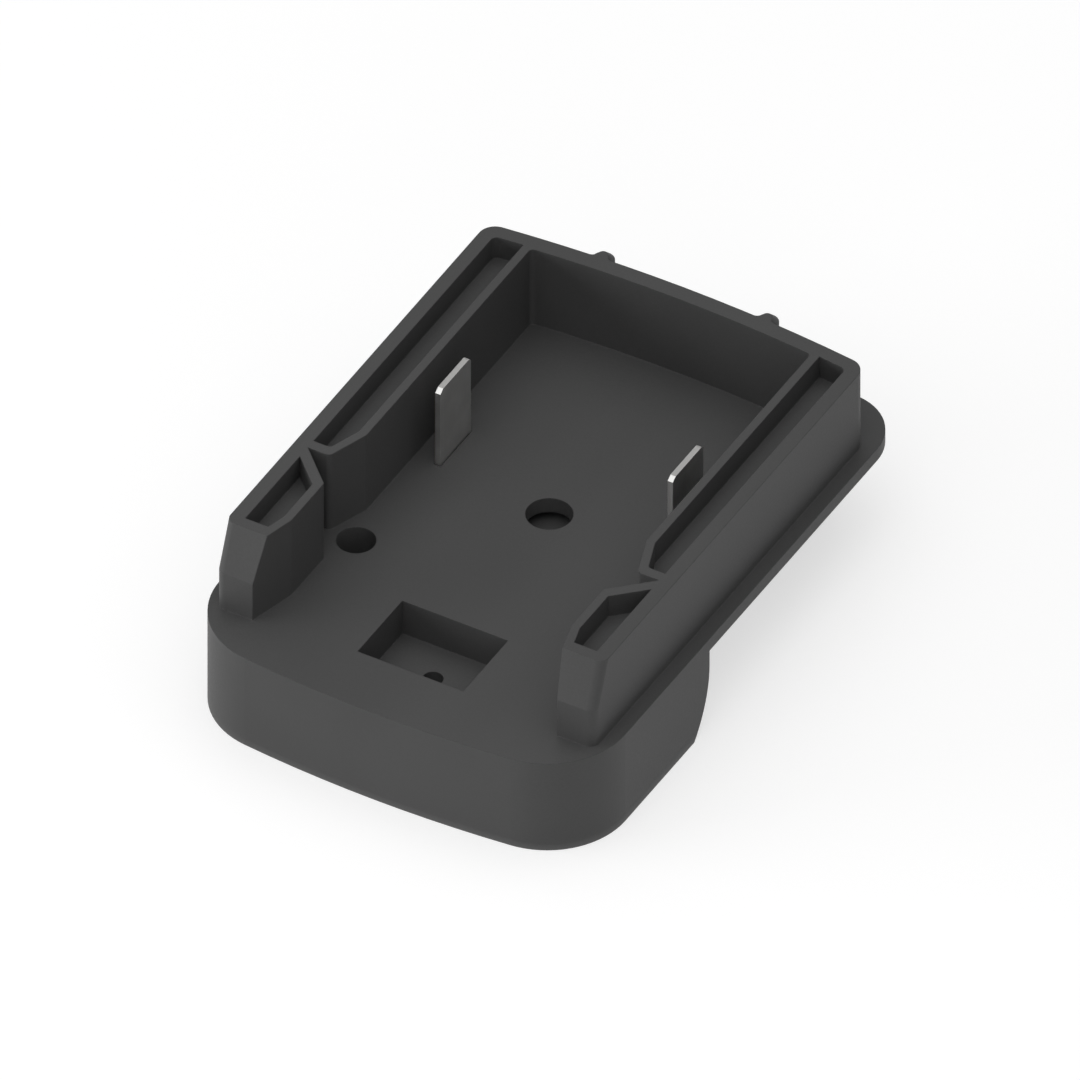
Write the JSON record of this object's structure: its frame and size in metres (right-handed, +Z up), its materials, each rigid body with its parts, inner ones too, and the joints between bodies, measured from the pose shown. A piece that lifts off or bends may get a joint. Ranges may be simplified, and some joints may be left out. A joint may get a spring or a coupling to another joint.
{
  "type": "battery adapter",
  "caption": "Adapter with an open dock that a slide-on tool battery pushes into, two blade terminals, and a lipped tongue below that slides into a cordless tool",
  "frame": {"origin": "middle of the bounding box's base: on the plane of symmetry, half way along the dock plate, level with the face it stands on", "axes": "X across the dock, +Y toward the closed rear wall and the end of the tongue, Z up; the battery slides in toward +Y"},
  "size_m": [0.066, 0.0944, 0.03],
  "materials": {
    "housing_plastic": "fine matte moulded surface, dark neutral grey",
    "slide_plastic": "fine matte moulded surface, dark neutral grey",
    "blade_metal": "bright nickel-plated strip with a fine grain",
    "clamp_plastic": "matte moulded surface, near black",
    "clip_metal": "spring bronze, satin",
    "strip_copper": "plain copper strip, satin",
    "screw_steel": "zinc-plated steel"
  },
  "bodies": {
    "root": {"dock_housing": "housing_plastic", "tool_slide": "slide_plastic", "blade_left": "blade_metal", "blade_right": "blade_metal", "clamp_left": "clamp_plastic", "clamp_right": "clamp_plastic", "clip_left": "clip_metal", "clip_right": "clip_metal", "strip_left": "strip_copper", "strip_right": "strip_copper", "dock_screws": "screw_steel", "slide_screws": "screw_steel"}
  },
  "joints": []
}
